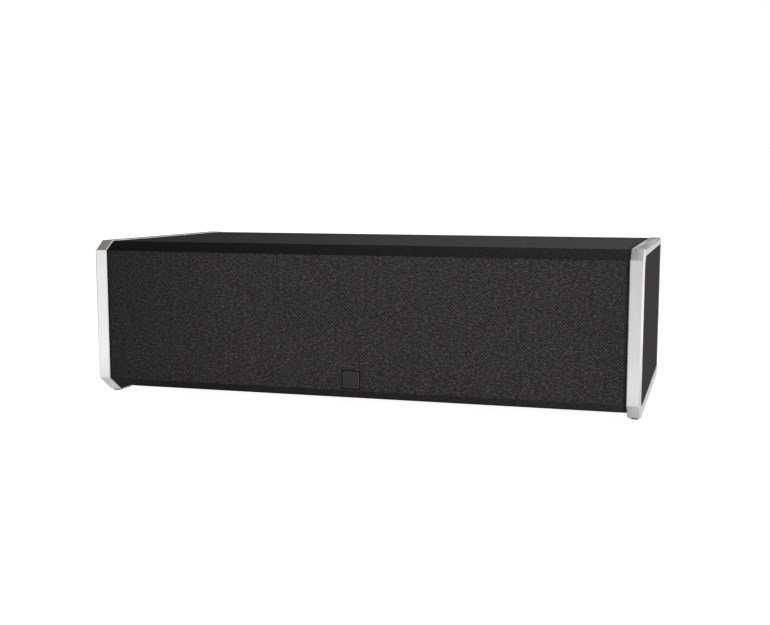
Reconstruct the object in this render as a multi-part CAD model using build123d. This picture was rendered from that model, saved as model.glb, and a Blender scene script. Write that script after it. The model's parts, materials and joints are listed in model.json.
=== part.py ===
from build123d import *
from math import asin, copysign, cos, radians, sin
import os

# All sizes are in millimetres. X runs along the speaker, the front faces -Y and Z points up.
# The origin lies on the floor, under the middle of the speaker.

# Overall size, standing on the foot pads
overall_width = 525.0
overall_depth = 261.0
overall_height = 151.0

# Cloth sleeve and the cut-off front edges
cloth_thickness = 0.8
cloth_set_back = 0.5  # the metal stands this much proud of the cloth
chamfer_depth = 13.0
chamfer_height = 9.2

# Aluminium end frames
frame_width = 12.5
rim_width = 6.2
foot_drop = 5.3  # the frames reach this far below the cloth
outer_bevel = 1.5
inner_bevel = 0.8
strap_width = 22.0  # two upright straps inside each frame take the screws
strap_inset = 28.0  # strap middle, from the inside of the baffle or of the rear panel
frame_screw_inset = 16.0  # screw, from the inside of the top or bottom panel

# Side panels and foot pads
side_panel_thickness = 4.5
side_panel_recess = 0.6
side_panel_clearance = 0.25
side_panel_edge = 0.6
pad_width = 6.2
pad_length = 24.0
pad_proud = 1.5
pad_seat = 1.0  # depth of the pocket that holds a pad
pad_clearance = 0.1
pad_front_inset = 2.0  # behind the lower cut of the frame
pad_back_inset = 14.0

# Cabinet boards
board_thickness = 15.0
baffle_thickness = 18.0
grille_depth = 14.0  # space in front of the baffle
brace_thickness = 12.0
brace_rim = 20.0
brace_gap = 8.0  # between a mid driver's flange and the brace

# Grille frame
grille_border = 13.0
grille_rib = 6.0
grille_corner = 5.0
peg_radius = 2.9
peg_length = 9.0
peg_clearance = 0.1
peg_inset = 6.5

# Badge place at the front
badge_size = 16.0
badge_height = 26.4  # middle of the badge above the floor
badge_proud = 0.4
badge_corner = 1.2
badge_clearance = 0.2
badge_tab_border = 3.0
badge_tab_thickness = 4.0

# Mid drivers; depths run backwards from the front of the baffle
mid_offset = 112.0
mid_flange_radius = 58.0
mid_flange_thickness = 4.0
mid_mouth_radius = 45.0
mid_wall = 2.0
mid_rear_radius = 36.5
mid_depth = 33.0
mid_floor = 2.5
mid_ledge_radius = 31.0
mid_ledge_depth = 25.0
mid_spokes = 6
mid_spoke_width = 9.0
mid_coil_radius = 14.7  # outside of the voice coil
mid_coil_wall = 0.6
mid_coil_length = 28.0
mid_gap = 0.4  # air on each side of a voice coil
mid_cone_rim = 40.0
mid_cone_depth = 11.0
mid_cone_wall = 1.0
mid_roll_lip = 3.0
mid_roll_thickness = 0.7
mid_top_plate_radius = 35.0
mid_top_plate_thickness = 5.0
mid_magnet_radius = 37.5
mid_magnet_hole = 19.0
mid_magnet_height = 14.0
mid_yoke_thickness = 5.0
mid_plug_radius = 11.5
mid_plug_nose = 3.0
mid_plug_taper = 3.0  # narrower at its foot
mid_travel = 4.0

# Tweeter
tweeter_plate_radius = 42.0
tweeter_plate_thickness = 5.0
tweeter_horn_radius = 30.0
tweeter_throat_radius = 16.0
tweeter_throat_height = 1.0
tweeter_dome_radius = 12.6
tweeter_dome_rise = 3.6
tweeter_dome_wall = 0.4
dome_rings = 5
tweeter_lip_thickness = 0.5
tweeter_lip_width = 4.0
tweeter_coil_wall = 0.4
tweeter_coil_length = 6.0
tweeter_gap = 0.35
tweeter_top_plate_radius = 27.0
tweeter_top_plate_thickness = 4.0
tweeter_magnet_radius = 30.0
tweeter_magnet_hole = 18.0
tweeter_magnet_height = 10.0
tweeter_yoke_thickness = 4.0
tweeter_travel = 0.3

# Bass radiator under the top panel; depths run down from the underside of that panel
radiator_margin = 4.7  # between the flange and the boards in front of it and behind it
radiator_flange_width = 14.0
radiator_flange_thickness = 3.0
radiator_roll_width = 12.0
radiator_cone_depth = 12.0
radiator_cone_floor = 34.0
radiator_cone_wall = 1.5
radiator_roll_thickness = 1.0
radiator_roll_lip = 4.0
radiator_travel = 8.0
guard_thickness = 3.0
guard_seat = 6.0  # how far the guard overlaps the board round the opening
guard_clearance = 0.3
guard_ring_width = 5.0
guard_spokes = 6
guard_hub_radius = 14.0

# Fits used all over the speaker
round_clearance = 0.3  # round flanges in their recesses, and soft pieces beside their neighbours
basket_clearance = 0.6  # round the baskets and magnets in the baffle
glue_gap = 0.1  # between a voice coil and what is glued to it
overrun = 1.0  # how far a cut runs past the face it starts from

# Screws
screw_radius = 1.75
screw_head_radius = 3.5
screw_head_height = 2.2
screw_length = 15.0  # below the head
screw_clearance = 0.1
frame_screw_radius = 1.5
frame_screw_head_radius = 3.5
frame_screw_head_height = 2.4
frame_screw_grip = 5.5  # length inside the frame's strap

# Terminal cup at the back
cup_width = 100.0
cup_height = 76.0
cup_corner = 8.0
cup_flange = 4.0
cup_mouth_width = 78.0
cup_mouth_height = 54.0
cup_mouth_corner = 9.0
cup_depth = 24.0
cup_draft = 8.0
cup_wall = 2.5
cup_floor = 3.0
cup_clearance = 0.2
cup_screw_inset = 6.5
cup_edge = 0.6
cup_mouth_edge = 1.2
post_spacing = 19.0
post_radius = 3.0
post_length = 19.0
post_base_radius = 5.6
post_base_height = 2.0
post_tail = 11.0
post_bore_radius = 2.0
post_bore_depth = 13.0
post_wire_hole = 1.3
knob_radius = 7.0
knob_length = 16.0
knob_flutes = 12
knob_flange = 2.0  # plain rim below the flutes
knob_flute_radius = 1.1
knob_edge = 0.8
knob_clearance = 0.06
knob_gap = 0.4  # open thread between base and knob
nut_flat = 10.0
nut_height = 4.0
nut_clearance = 0.1

# Crossover and damping
crossover_length = 120.0
crossover_width = 84.0
crossover_thickness = 1.6
crossover_offset = 26.0  # board middle behind the speaker's middle
standoff_height = 8.0
standoff_radius = 3.5
standoff_inset = 6.0
coil_radius = 20.0
coil_hole = 9.0
coil_height = 16.0
capacitor_radius = 8.0
capacitor_length = 32.0
resistor_size = 9.0
resistor_length = 25.0
part_inset = 6.0  # from the board's edge to the parts on it
damping_clearance = 0.3
damping_height = 60.0

# Levels and limits that follow from the sizes above
front = -overall_depth / 2
back = overall_depth / 2
body_bottom = pad_proud + foot_drop
core_half = overall_width / 2 - frame_width
skin = cloth_set_back + cloth_thickness
core_front = front + skin
core_back = back - skin
core_top = overall_height - skin
core_bottom = body_bottom + skin
baffle_front = core_front + grille_depth
baffle_back = baffle_front + baffle_thickness
inner_half = core_half - board_thickness
inner_top = core_top - board_thickness
inner_bottom = core_bottom + board_thickness
inner_back = core_back - board_thickness
axis_height = (core_top + core_bottom) / 2
brace_offset = mid_offset + mid_flange_radius + brace_gap + brace_thickness / 2
radiator_place = (baffle_back + inner_back) / 2
radiator_flange_radius = (inner_back - baffle_back) / 2 - radiator_margin
radiator_mouth_radius = radiator_flange_radius - radiator_flange_width
radiator_cone_radius = radiator_mouth_radius - radiator_roll_width
slope = chamfer_depth / chamfer_height
low_cut = chamfer_height + foot_drop


def block(x, y, z):
    """A box between the given low and high limits."""
    spans = (x, y, z)
    middle = [(low + high) / 2 for low, high in spans]
    size = [high - low for low, high in spans]
    return Pos(*middle) * Box(*size)


def turned(*points):
    """A ring or disc turned about the Z axis from points of radius and height."""
    return revolve(Plane.XZ * Polygon(*points, align=None), Axis.Z)


def turned_outline(*lines):
    """A ring or disc turned about the Z axis from a closed outline of lines and arcs."""
    edges = [edge for line in lines for edge in line.edges()]
    return revolve(Plane.XZ * make_face(edges), Axis.Z)


def level_arc(level, end):
    """An arc that leaves one point level and runs to the other."""
    run = end[0] - level[0]
    drop = end[1] - level[1]
    radius = (run**2 + drop**2) / (2 * abs(drop))
    half = asin(abs(run) / radius) / 2
    middle = (
        level[0] + copysign(radius * sin(half), run),
        level[1] + copysign(radius * (1 - cos(half)), drop),
    )
    return ThreePointArc(level, middle, end)


def half_roll(lip_in, roll_in, roll_out, lip_out, low, wall):
    """A half-round roll of a surround, with a flat lip on each side."""
    middle = (roll_in + roll_out) / 2
    rise = (roll_out - roll_in - wall) / 2
    return turned_outline(
        Line((lip_in, low), (roll_in + wall / 2, low)),
        ThreePointArc((roll_in + wall / 2, low), (middle, low + rise), (roll_out - wall / 2, low)),
        Polyline((roll_out - wall / 2, low), (lip_out, low), (lip_out, low + wall), (roll_out, low + wall)),
        ThreePointArc((roll_out, low + wall), (middle, low + rise + wall), (roll_in, low + wall)),
        Polyline((roll_in, low + wall), (lip_in, low + wall), (lip_in, low)),
    )


def rod(radius, low, high):
    """An upright cylinder between two heights."""
    return Pos(0, 0, (low + high) / 2) * Cylinder(radius, high - low)


def tube(inner, outer, low, high):
    """An upright pipe between two heights."""
    return turned((inner, low), (outer, low), (outer, high), (inner, high))


def plate(width, height, corner, low, high):
    """A plate with rounded corners, between two heights."""
    return Pos(0, 0, low) * extrude(RectangleRounded(width, height, corner), high - low)


def mirrored(shape):
    return mirror(shape, about=Plane.YZ)


def group(shapes):
    """Separate solids that are kept under one name."""
    return Compound(children=list(shapes))


def side_view(bottom, lower_cut):
    """End view of the speaker: both front edges are cut off with one slope."""
    outline = Polygon(
        (back, bottom),
        (back, overall_height),
        (front + chamfer_depth, overall_height),
        (front, overall_height - chamfer_height),
        (front, bottom + lower_cut),
        (front + lower_cut * slope, bottom),
        align=None,
    )
    return Plane.YZ * outline


def inset(section, amount):
    return offset(section, -amount, kind=Kind.INTERSECTION)


def along(section, half_length):
    return extrude(section, half_length, both=True)


def on_baffle(x):
    """Place of a driver: its local Z points out of the front."""
    return Plane(origin=(x, baffle_front, axis_height), x_dir=(1, 0, 0), z_dir=(0, -1, 0))


on_back = Plane(origin=(0, back - cloth_set_back, axis_height), x_dir=(-1, 0, 0), z_dir=(0, 1, 0))
on_radiator = Pos(0, radiator_place, inner_top)

body_section = side_view(body_bottom, chamfer_height)
frame_section = side_view(pad_proud, low_cut)
cloth_section = inset(body_section, cloth_set_back)
core_section = inset(body_section, skin)
panel_section = inset(body_section, rim_width)

# Screws, seen with the head on top of the Z = 0 plane


def pan_screw(radius, length, head_radius, head_height):
    return turned(
        (0, -length),
        (radius, -length),
        (radius, 0),
        (head_radius, 0),
        (head_radius - head_height / 2, head_height),
        (0, head_height),
    )


def wood_screw():
    return pan_screw(screw_radius, screw_length, screw_head_radius, screw_head_height)


def screw_hole(high, low):
    return rod(screw_radius + screw_clearance, low, high)


def circle_places(count, radius, first=45.0):
    for step in range(count):
        angle = radians(first + 360.0 * step / count)
        yield Pos(radius * cos(angle), radius * sin(angle), 0)


mid_screw_radius = (mid_flange_radius + mid_mouth_radius + mid_roll_lip + screw_head_radius) / 2
mid_screws = [on_baffle(side * mid_offset) * spot for side in (-1, 1) for spot in circle_places(4, mid_screw_radius)]
tweeter_screw_radius = (tweeter_plate_radius + tweeter_horn_radius) / 2
tweeter_screws = [on_baffle(0) * spot for spot in circle_places(4, tweeter_screw_radius)]
radiator_screw_radius = (radiator_flange_radius + radiator_mouth_radius + radiator_roll_lip) / 2
radiator_screws = [
    on_radiator * Rot(180, 0, 0) * Pos(0, 0, radiator_flange_thickness) * spot
    for spot in circle_places(8, radiator_screw_radius, 22.5)
]
cup_screw_spots = [
    Pos(x * (cup_width / 2 - cup_screw_inset), z * (cup_height / 2 - cup_screw_inset), -screw_head_height)
    for x in (-1, 1)
    for z in (-1, 1)
]
cup_screws = [on_back * spot for spot in cup_screw_spots]


def pilot_holes(places):
    return [place * screw_hole(0, -screw_length - overrun) for place in places]


def cut(shape, holes):
    for hole in holes:
        shape -= hole
    return shape


strap_places = (baffle_back + strap_inset, inner_back - strap_inset)
frame_screw_heights = (inner_bottom + frame_screw_inset, inner_top - frame_screw_inset)
frame_screw_length = board_thickness + frame_screw_grip


def frame_screw_places():
    """Screws of the right frame, driven outwards from inside the cabinet."""
    for y in strap_places:
        for z in frame_screw_heights:
            yield Plane(origin=(inner_half, y, z), x_dir=(0, 1, 0), z_dir=(-1, 0, 0))


frame_screw_holes = [
    place * rod(frame_screw_radius + screw_clearance, -frame_screw_length - screw_clearance, overrun)
    for place in frame_screw_places()
]

parts = {}

# End frames: a cast ring with bevelled edges, upright straps and pockets for the pads
pad_middle = core_half + frame_width / 2
pad_front = front + low_cut * slope + pad_front_inset
pad_spans = ((pad_front, pad_front + pad_length), (back - pad_back_inset - pad_length, back - pad_back_inset))


def pad(y_span, extra=0.0):
    half = pad_width / 2 + extra
    low, high = y_span
    return block((pad_middle - half, pad_middle + half), (low - extra, high + extra), (0, pad_proud + pad_seat))


casting = Pos(core_half, 0, 0) * extrude(frame_section, frame_width)
casting = chamfer(casting.edges().group_by(Axis.X)[-1], outer_bevel)
casting = chamfer(casting.edges().group_by(Axis.X)[0], inner_bevel)
opening = Pos(core_half, 0, 0) * extrude(panel_section, frame_width)
strap_depth = frame_width - side_panel_recess - side_panel_thickness
straps = [
    block((core_half, core_half + strap_depth), (y - strap_width / 2, y + strap_width / 2), (0, overall_height))
    for y in strap_places
]
right_end_frame = casting - opening + (opening & (straps[0] + straps[1]))
right_end_frame = cut(right_end_frame, frame_screw_holes)
right_end_frame = cut(right_end_frame, [pad(y_span, pad_clearance) for y_span in pad_spans])
parts["right_end_frame"] = right_end_frame
parts["left_end_frame"] = mirrored(right_end_frame)

side_panel = Pos(core_half + strap_depth, 0, 0) * extrude(
    inset(body_section, rim_width + side_panel_clearance), side_panel_thickness
)
side_panel = chamfer(side_panel.edges().group_by(Axis.X)[-1], side_panel_edge)
parts["right_side_panel"] = side_panel
parts["left_side_panel"] = mirrored(side_panel)

right_pads = [pad(y_span) for y_span in pad_spans]
parts["foot_pads"] = group(right_pads + [mirrored(shape) for shape in right_pads])

right_screws = [
    place * pan_screw(frame_screw_radius, frame_screw_length, frame_screw_head_radius, frame_screw_head_height)
    for place in frame_screw_places()
]
parts["end_frame_screws"] = group(right_screws + [mirrored(shape) for shape in right_screws])

# Cloth sleeve: a tube round the cabinet, open at the badge and at the terminal cup
badge_place = Plane(origin=(0, core_front, badge_height), x_dir=(1, 0, 0), z_dir=(0, -1, 0))
sleeve = along(cloth_section - core_section, core_half)
badge_hole = badge_size + 2 * badge_clearance
sleeve -= badge_place * plate(badge_hole, badge_hole, badge_corner, -overrun, cloth_thickness + overrun)
cup_seat = on_back * plate(
    cup_width + 2 * cup_clearance, cup_height + 2 * cup_clearance, cup_corner, -cup_flange, overrun
)
sleeve -= cup_seat
parts["fabric_sleeve"] = sleeve

badge = badge_place * plate(badge_size, badge_size, badge_corner, 0, cloth_thickness + badge_proud)
parts["badge"] = badge

# Grille frame: a moulded border with ribs between the drivers and pegs into the baffle
core = along(core_section, core_half)
everywhere = 2 * overall_width
grille_frame = core & block((-everywhere, everywhere), (-everywhere, baffle_front), (-everywhere, everywhere))
rib_inner = mid_offset - mid_flange_radius - grille_rib / 2
rib_outer = mid_offset + mid_flange_radius + grille_rib / 2
rib_lines = [-core_half, -rib_outer, -rib_inner, rib_inner, rib_outer, core_half]
for left, right in zip(rib_lines[:-1], rib_lines[1:]):
    left_edge = left + (grille_border if left == -core_half else grille_rib / 2)
    right_edge = right - (grille_border if right == core_half else grille_rib / 2)
    window = RectangleRounded(right_edge - left_edge, core_top - core_bottom - 2 * grille_border, grille_corner)
    window_place = on_baffle((left_edge + right_edge) / 2)
    grille_frame -= window_place * extrude(window, grille_depth + overrun)
tab_half = badge_size / 2 + badge_tab_border
grille_frame += block(
    (-tab_half, tab_half),
    (core_front, core_front + badge_tab_thickness),
    (core_bottom + chamfer_height, badge_height + tab_half),
)
peg_spots = [
    (x, z)
    for x in (-core_half + peg_inset, 0, core_half - peg_inset)
    for z in (core_bottom + peg_inset, core_top - peg_inset)
]


def peg(x, z, extra=0.0):
    spot = Plane(origin=(x, baffle_front, z), x_dir=(1, 0, 0), z_dir=(0, 1, 0))
    return spot * rod(peg_radius + extra, -overrun, peg_length + extra)


for x, z in peg_spots:
    grille_frame += peg(x, z)
parts["front_grille_frame"] = grille_frame

# Cabinet boards
full = (-core_half, core_half)
inner = (-inner_half, inner_half)
mid_cut_radius = mid_mouth_radius + mid_wall + basket_clearance
tweeter_cut_radius = tweeter_magnet_radius + basket_clearance

front_baffle = block(full, (baffle_front, baffle_back), (core_bottom, core_top))
for x in (-mid_offset, mid_offset):
    front_baffle -= on_baffle(x) * rod(mid_cut_radius, -baffle_thickness - overrun, overrun)
    front_baffle -= on_baffle(x) * rod(mid_flange_radius + round_clearance, -mid_flange_thickness, overrun)
front_baffle -= on_baffle(0) * rod(tweeter_cut_radius, -baffle_thickness - overrun, overrun)
front_baffle -= on_baffle(0) * rod(tweeter_plate_radius + round_clearance, -tweeter_plate_thickness, overrun)
front_baffle = cut(front_baffle, [peg(x, z, peg_clearance) for x, z in peg_spots])
front_baffle = cut(front_baffle, pilot_holes(mid_screws + tweeter_screws))

top_panel = block(inner, (baffle_back, core_back), (inner_top, core_top))
guard_radius = radiator_mouth_radius + guard_seat
guard_low = board_thickness - guard_thickness
top_panel -= on_radiator * rod(radiator_mouth_radius, -overrun, board_thickness + overrun)
top_panel -= on_radiator * rod(guard_radius + guard_clearance, guard_low, board_thickness + overrun)
top_panel = cut(top_panel, pilot_holes(radiator_screws))

bottom_panel = block(inner, (baffle_back, core_back), (core_bottom, inner_bottom))
rear_panel = block(inner, (inner_back, core_back), (inner_bottom, inner_top))
cup_cut_width = cup_mouth_width + 2 * cup_wall + 2 * cup_clearance
cup_cut_height = cup_mouth_height + 2 * cup_wall + 2 * cup_clearance
rear_panel -= on_back * plate(cup_cut_width, cup_cut_height, cup_mouth_corner + cup_wall, -2 * board_thickness, overrun)
rear_panel -= cup_seat
rear_panel = cut(rear_panel, pilot_holes(cup_screws))

end_board = block((inner_half, core_half), (baffle_back, core_back), (core_bottom, core_top))
end_board = cut(end_board, frame_screw_holes)

brace = block(
    (brace_offset - brace_thickness / 2, brace_offset + brace_thickness / 2),
    (baffle_back, inner_back),
    (inner_bottom, inner_top),
)
brace -= Plane(
    origin=(brace_offset, (baffle_back + inner_back) / 2, axis_height), x_dir=(0, 1, 0), z_dir=(1, 0, 0)
) * plate(
    inner_back - baffle_back - 2 * brace_rim,
    inner_top - inner_bottom - 2 * brace_rim,
    brace_rim / 2,
    -brace_thickness,
    brace_thickness,
)

parts["front_baffle"] = front_baffle
parts["top_panel"] = top_panel
parts["bottom_panel"] = bottom_panel
parts["rear_panel"] = rear_panel
parts["right_end_board"] = end_board
parts["left_end_board"] = mirrored(end_board)
parts["right_brace"] = brace
parts["left_brace"] = mirrored(brace)

damping = block(
    (brace_offset + brace_thickness / 2 + damping_clearance, inner_half - 2 * frame_screw_head_height),
    (baffle_back + damping_clearance, inner_back - damping_clearance),
    (inner_bottom, inner_bottom + damping_height),
)
parts["damping_pads"] = group([damping, mirrored(damping)])


# Mid drivers, built with the front of the baffle at Z = 0 and the listener above
def mid_pieces():
    coil_inner = mid_coil_radius - mid_coil_wall
    gap_inner = coil_inner - mid_gap
    gap_outer = mid_coil_radius + mid_gap
    floor_low = -mid_depth
    plate_low = floor_low - mid_top_plate_thickness
    magnet_low = plate_low - mid_magnet_height
    yoke_low = magnet_low - mid_yoke_thickness
    lip_seat = -mid_roll_thickness
    ledge = -mid_ledge_depth
    share = (mid_ledge_depth - mid_flange_thickness) / (mid_depth - mid_flange_thickness)
    ledge_wall = mid_mouth_radius - share * (mid_mouth_radius + mid_wall - mid_rear_radius)
    basket = turned(
        (mid_flange_radius, 0),
        (mid_flange_radius, -mid_flange_thickness),
        (mid_mouth_radius + mid_wall, -mid_flange_thickness),
        (mid_rear_radius, floor_low),
        (gap_outer + 4, floor_low),
        (gap_outer + 4, floor_low + mid_floor),
        (mid_ledge_radius, floor_low + mid_floor),
        (mid_ledge_radius, ledge),
        (ledge_wall, ledge),
        (mid_mouth_radius, -mid_flange_thickness),
        (mid_mouth_radius, lip_seat),
        (mid_mouth_radius + mid_roll_lip, lip_seat),
        (mid_mouth_radius + mid_roll_lip, 0),
    )
    windows = rod(mid_mouth_radius + mid_wall, ledge, -mid_flange_thickness - mid_wall)
    for step in range(mid_spokes // 2):
        spoke = Box(3 * mid_flange_radius, mid_spoke_width, 4 * mid_depth)
        windows -= Rot(0, 0, 360.0 * step / mid_spokes) * spoke
    basket -= windows
    basket = cut(basket, [spot * screw_hole(overrun, -mid_depth) for spot in circle_places(4, mid_screw_radius)])

    roll_in = mid_cone_rim + round_clearance
    roll_out = mid_mouth_radius - round_clearance
    lip_edge = mid_mouth_radius + mid_roll_lip - round_clearance
    surround = half_roll(roll_in - mid_roll_lip, roll_in, roll_out, lip_edge, lip_seat, mid_roll_thickness)

    neck = mid_coil_radius + glue_gap
    rim_low = lip_seat - mid_cone_wall
    neck_top = lip_seat - mid_cone_depth
    cone = turned(
        (mid_cone_rim, lip_seat),
        (roll_in - mid_roll_lip - 1, lip_seat),
        (neck, neck_top),
        (neck, neck_top - 3 * mid_cone_wall),
        (neck + mid_cone_wall, neck_top - 3 * mid_cone_wall),
        (neck + mid_cone_wall, neck_top - mid_cone_wall),
        (roll_in - mid_roll_lip, rim_low),
        (mid_cone_rim, rim_low),
    )
    coil_top = neck_top
    voice_coil = tube(coil_inner, mid_coil_radius, coil_top - mid_coil_length, coil_top)
    spider_wall = mid_roll_thickness
    spider_middle = (neck + mid_ledge_radius) / 2
    spider_wave = 1.5
    spider = turned(
        (neck, ledge),
        (spider_middle, ledge + spider_wave),
        (mid_ledge_radius, ledge),
        (ledge_wall - round_clearance, ledge),
        (ledge_wall - round_clearance, ledge + spider_wall),
        (mid_ledge_radius, ledge + spider_wall),
        (spider_middle, ledge + spider_wave + spider_wall),
        (neck, ledge + spider_wall),
    )
    top_plate = tube(gap_outer, mid_top_plate_radius, plate_low, floor_low)
    magnet = tube(mid_magnet_hole, mid_magnet_radius, magnet_low, plate_low)
    yoke = turned(
        (0, yoke_low),
        (mid_top_plate_radius, yoke_low),
        (mid_top_plate_radius, magnet_low),
        (gap_inner, magnet_low),
        (gap_inner, floor_low),
        (0, floor_low),
    )
    shoulder = neck_top - mid_travel
    nose_low = neck_top / 2
    phase_plug = turned_outline(
        Polyline(
            (0, mid_plug_nose),
            (0, floor_low),
            (mid_plug_radius - mid_plug_taper, floor_low),
            (mid_plug_radius, shoulder),
            (mid_plug_radius, nose_low),
        ),
        level_arc((0, mid_plug_nose), (mid_plug_radius, nose_low)),
    )
    return {
        "basket": basket,
        "surround": surround,
        "cone": cone,
        "voice_coil": voice_coil,
        "spider": spider,
        "top_plate": top_plate,
        "magnet": magnet,
        "yoke": yoke,
        "phase_plug": phase_plug,
    }


for side, x in (("left", -mid_offset), ("right", mid_offset)):
    for name, shape in mid_pieces().items():
        parts[f"{side}_mid_{name}"] = on_baffle(x) * shape


# Tweeter, built in the same way
def tweeter_pieces():
    coil_outer = tweeter_dome_radius + tweeter_coil_wall
    gap_outer = coil_outer + tweeter_gap
    gap_inner = tweeter_dome_radius - tweeter_gap
    plate_low = -tweeter_plate_thickness
    lip_low = plate_low - tweeter_lip_thickness
    top_low = lip_low - tweeter_top_plate_thickness
    magnet_low = top_low - tweeter_magnet_height
    yoke_low = magnet_low - tweeter_yoke_thickness
    throat = (tweeter_throat_radius, plate_low + tweeter_throat_height)
    faceplate = turned_outline(
        Polyline(
            throat,
            (tweeter_throat_radius, plate_low),
            (tweeter_plate_radius, plate_low),
            (tweeter_plate_radius, 0),
            (tweeter_horn_radius, 0),
        ),
        level_arc((tweeter_horn_radius, 0), throat),
    )
    faceplate = cut(faceplate, [spot * screw_hole(overrun, 2 * plate_low) for spot in circle_places(4, tweeter_screw_radius)])
    lip_inner = coil_outer + glue_gap
    lip_outer = tweeter_throat_radius + tweeter_lip_width
    surround = turned(
        (lip_inner, lip_low),
        (lip_outer, lip_low),
        (lip_outer, plate_low),
        (tweeter_throat_radius - round_clearance, plate_low),
        ((lip_inner + tweeter_throat_radius) / 2, plate_low + tweeter_lip_thickness),
        (lip_inner, plate_low),
    )
    dome_edge = tweeter_dome_radius - glue_gap
    rings = [dome_edge * step / dome_rings for step in range(dome_rings + 1)]
    ball = (dome_edge**2 + tweeter_dome_rise**2) / (2 * tweeter_dome_rise)
    crown = [(r, lip_low + tweeter_dome_rise - ball + (ball**2 - r**2) ** 0.5) for r in rings]
    dome = turned(*crown, *[(r, z - tweeter_dome_wall) for r, z in reversed(crown)])
    voice_coil = tube(tweeter_dome_radius, coil_outer, lip_low - tweeter_coil_length, plate_low)
    top_plate = tube(gap_outer, tweeter_top_plate_radius, top_low, lip_low)
    magnet = tube(tweeter_magnet_hole, tweeter_magnet_radius, magnet_low, top_low)
    yoke = turned(
        (0, yoke_low),
        (tweeter_top_plate_radius, yoke_low),
        (tweeter_top_plate_radius, magnet_low),
        (gap_inner, magnet_low),
        (gap_inner, lip_low - 2 * tweeter_travel),
        (0, lip_low - 2 * tweeter_travel),
    )
    return {
        "faceplate": faceplate,
        "surround": surround,
        "dome": dome,
        "voice_coil": voice_coil,
        "top_plate": top_plate,
        "magnet": magnet,
        "yoke": yoke,
    }


for name, shape in tweeter_pieces().items():
    parts[f"tweeter_{name}"] = on_baffle(0) * shape

# Bass radiator, built with the underside of the top panel at Z = 0
lip = radiator_roll_thickness
flange_low = -radiator_flange_thickness
radiator_frame = turned(
    (radiator_mouth_radius, flange_low),
    (radiator_flange_radius, flange_low),
    (radiator_flange_radius, 0),
    (radiator_mouth_radius + radiator_roll_lip, 0),
    (radiator_mouth_radius + radiator_roll_lip, -lip),
    (radiator_mouth_radius, -lip),
)
radiator_frame = cut(
    radiator_frame,
    [spot * screw_hole(overrun, 2 * flange_low) for spot in circle_places(8, radiator_screw_radius, 22.5)],
)
roll_in = radiator_cone_radius + round_clearance
roll_out = radiator_mouth_radius - round_clearance
lip_edge = radiator_mouth_radius + radiator_roll_lip - round_clearance
radiator_surround = half_roll(roll_in - radiator_roll_lip, roll_in, roll_out, lip_edge, 0, lip)
radiator_surround = mirror(radiator_surround, about=Plane.XY)
wall = radiator_cone_wall
radiator_cone = turned(
    (0, -lip - radiator_cone_depth),
    (radiator_cone_floor, -lip - radiator_cone_depth),
    (roll_in - radiator_roll_lip - 1, -lip),
    (radiator_cone_radius, -lip),
    (radiator_cone_radius, -lip - wall),
    (roll_in - radiator_roll_lip, -lip - wall),
    (radiator_cone_floor + wall, -lip - radiator_cone_depth - wall),
    (0, -lip - radiator_cone_depth - wall),
)
parts["radiator_frame"] = on_radiator * radiator_frame
parts["radiator_surround"] = on_radiator * radiator_surround
parts["radiator_cone"] = on_radiator * radiator_cone

guard = tube(guard_radius - guard_seat - guard_ring_width, guard_radius, guard_low, board_thickness)
guard += rod(guard_hub_radius, guard_low, board_thickness)
for step in range(guard_spokes):
    spoke = block((0, guard_radius - guard_seat), (-guard_ring_width / 2, guard_ring_width / 2), (guard_low, board_thickness))
    guard += Rot(0, 0, 360.0 * step / guard_spokes) * spoke
parts["radiator_guard"] = on_radiator * guard

# Terminal cup, built with its outside face at Z = 0
cup = plate(cup_width, cup_height, cup_corner, -cup_flange, 0)
cup = chamfer(cup.edges().group_by(Axis.Z)[-1], cup_edge)
cup += plate(
    cup_mouth_width + 2 * cup_wall,
    cup_mouth_height + 2 * cup_wall,
    cup_mouth_corner + cup_wall,
    -cup_depth - cup_floor,
    -cup_flange / 2,
)
cup -= extrude(RectangleRounded(cup_mouth_width, cup_mouth_height, cup_mouth_corner), -cup_depth, taper=cup_draft)
mouth_lead = RectangleRounded(
    cup_mouth_width + 2 * cup_mouth_edge, cup_mouth_height + 2 * cup_mouth_edge, cup_mouth_corner + cup_mouth_edge
)
cup -= extrude(mouth_lead, -cup_mouth_edge, taper=45)
for side in (-1, 1):
    cup -= Pos(side * post_spacing / 2, 0, 0) * rod(post_radius + nut_clearance, -2 * cup_depth, 0)
for spot in cup_screw_spots:
    cup -= spot * screw_hole(overrun, -cup_flange)
    cup -= spot * rod(screw_head_radius + screw_clearance, 0, screw_head_height + overrun)
parts["terminal_cup"] = on_back * cup

floor = -cup_depth
post = turned(
    (0, floor - cup_floor - post_tail),
    (post_radius, floor - cup_floor - post_tail),
    (post_radius, floor),
    (post_base_radius, floor),
    (post_base_radius, floor + post_base_height),
    (post_radius, floor + post_base_height),
    (post_radius, floor + post_length),
    (post_bore_radius, floor + post_length),
    (post_bore_radius, floor + post_length - post_bore_depth),
    (0, floor + post_length - post_bore_depth),
)
wire_height = floor + post_base_height + knob_gap + post_wire_hole
post -= Pos(0, 0, wire_height) * Rot(90, 0, 0) * Cylinder(post_wire_hole, 4 * post_radius)
knob_low = floor + post_base_height + knob_gap
knob_top = knob_low + knob_length
knob = turned(
    (post_radius + knob_clearance, knob_low),
    (knob_radius, knob_low),
    (knob_radius, knob_top - knob_edge),
    (knob_radius - knob_edge, knob_top),
    (post_radius + knob_clearance, knob_top),
)
for spot in circle_places(knob_flutes, knob_radius + knob_flute_radius / 2):
    knob -= spot * rod(knob_flute_radius, knob_low + knob_flange, knob_top + overrun)
nut = extrude(RegularPolygon(nut_flat / 2, 6, major_radius=False), nut_height)
nut -= rod(post_radius + nut_clearance, -overrun, nut_height + overrun)
nut = Pos(0, 0, floor - cup_floor - nut_height) * nut
nuts = []
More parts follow.
